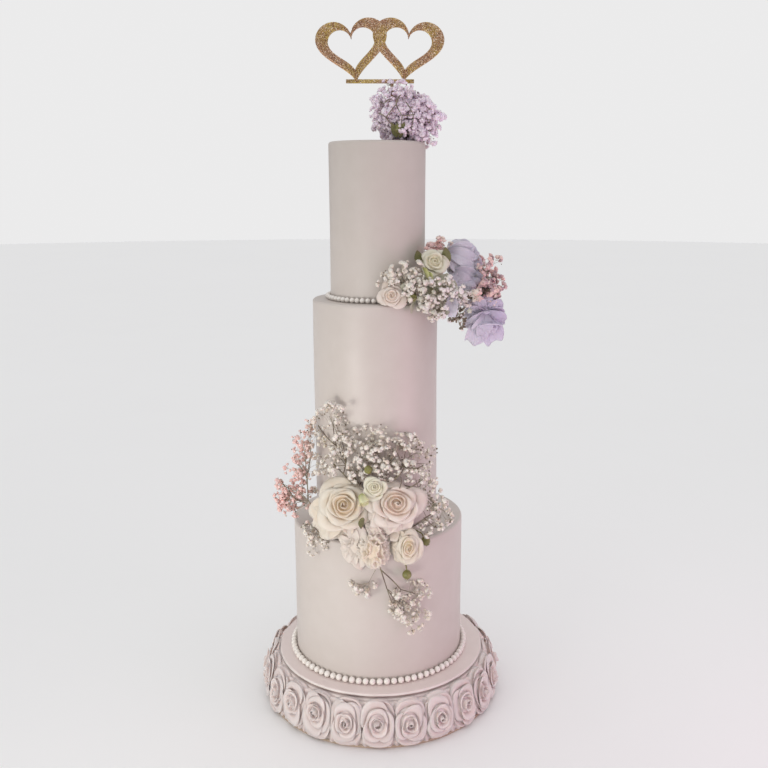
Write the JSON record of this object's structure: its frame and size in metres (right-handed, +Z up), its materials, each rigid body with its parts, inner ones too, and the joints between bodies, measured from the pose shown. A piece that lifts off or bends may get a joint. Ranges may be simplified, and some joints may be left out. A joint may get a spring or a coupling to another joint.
{
  "type": "tiered wedding cake",
  "caption": "Tall ivory wedding cake in round tiers on a rose-covered stand, with pearl borders, draped roses and gypsophila, and a glitter heart topper.",
  "frame": {"origin": "centre of the stand's underside, on the surface it stands on", "axes": "+Z up; -Y is the front, where the large rose cluster hangs; +X to the viewer's right"},
  "size_m": [0.4164, 0.4164, 1.1081],
  "materials": {
    "stand": "satin white paint, warm at the foot",
    "stand_rose": "satin roses, off-white",
    "fondant": "smooth ivory sugar paste, satin",
    "pearls": "sugar pearls with a soft lustre",
    "glitter": "card covered in rose gold glitter",
    "petal_cream": "fresh cream petals",
    "petal_blush": "fresh cream petals with a blush",
    "petal_white": "fresh white petals with a cream heart",
    "petal_lilac": "fresh pale lilac petals",
    "green": "waxy olive green",
    "gypsophila": "tiny white flowers on dark thin stems"
  },
  "bodies": {
    "root": {"stand_base": "stand", "stand_rose_01": "stand_rose", "stand_rose_02": "stand_rose", "stand_rose_03": "stand_rose", "stand_rose_04": "stand_rose", "stand_rose_05": "stand_rose", "stand_rose_06": "stand_rose", "stand_rose_07": "stand_rose", "stand_rose_08": "stand_rose", "stand_rose_09": "stand_rose", "stand_rose_10": "stand_rose", "stand_rose_11": "stand_rose", "stand_rose_12": "stand_rose", "stand_rose_13": "stand_rose", "stand_rose_14": "stand_rose", "stand_rose_15": "stand_rose", "stand_rose_16": "stand_rose", "stand_rose_17": "stand_rose", "stand_rose_18": "stand_rose", "stand_rose_19": "stand_rose", "stand_rose_20": "stand_rose", "stand_rose_21": "stand_rose", "stand_rose_22": "stand_rose", "stand_rose_23": "stand_rose", "stand_rose_24": "stand_rose", "cake_board": "fondant", "tier_bottom": "fondant", "tier_middle": "fondant", "tier_top": "fondant", "pearls_bottom": "pearls", "pearls_middle": "pearls", "pearls_top": "pearls", "topper_hearts": "glitter", "rose_front_left": "petal_cream", "rose_front_right": "petal_blush", "rose_front_small": "petal_cream", "rose_front_spray": "petal_cream", "carnation_front": "petal_white", "bloom_front_white": "petal_white", "rose_side_cream": "petal_cream", "rose_side_green": "petal_cream", "bloom_side_upper": "petal_lilac", "bloom_side_middle": "petal_lilac", "bloom_side_lower": "petal_lilac", "bud_front_yellow": "green", "bud_front_olive": "green", "bud_front_right": "green", "bud_front_low": "green", "bud_top": "green", "leaf_front": "green", "leaf_side_left": "green", "leaf_side_right": "green", "gypsophila_front_left": "gypsophila", "gypsophila_front_upper": "gypsophila", "gypsophila_front_right": "gypsophila", "gypsophila_front_lower": "gypsophila", "gypsophila_side_left": "gypsophila", "gypsophila_side_right": "gypsophila", "gypsophila_top": "gypsophila"}
  },
  "joints": []
}
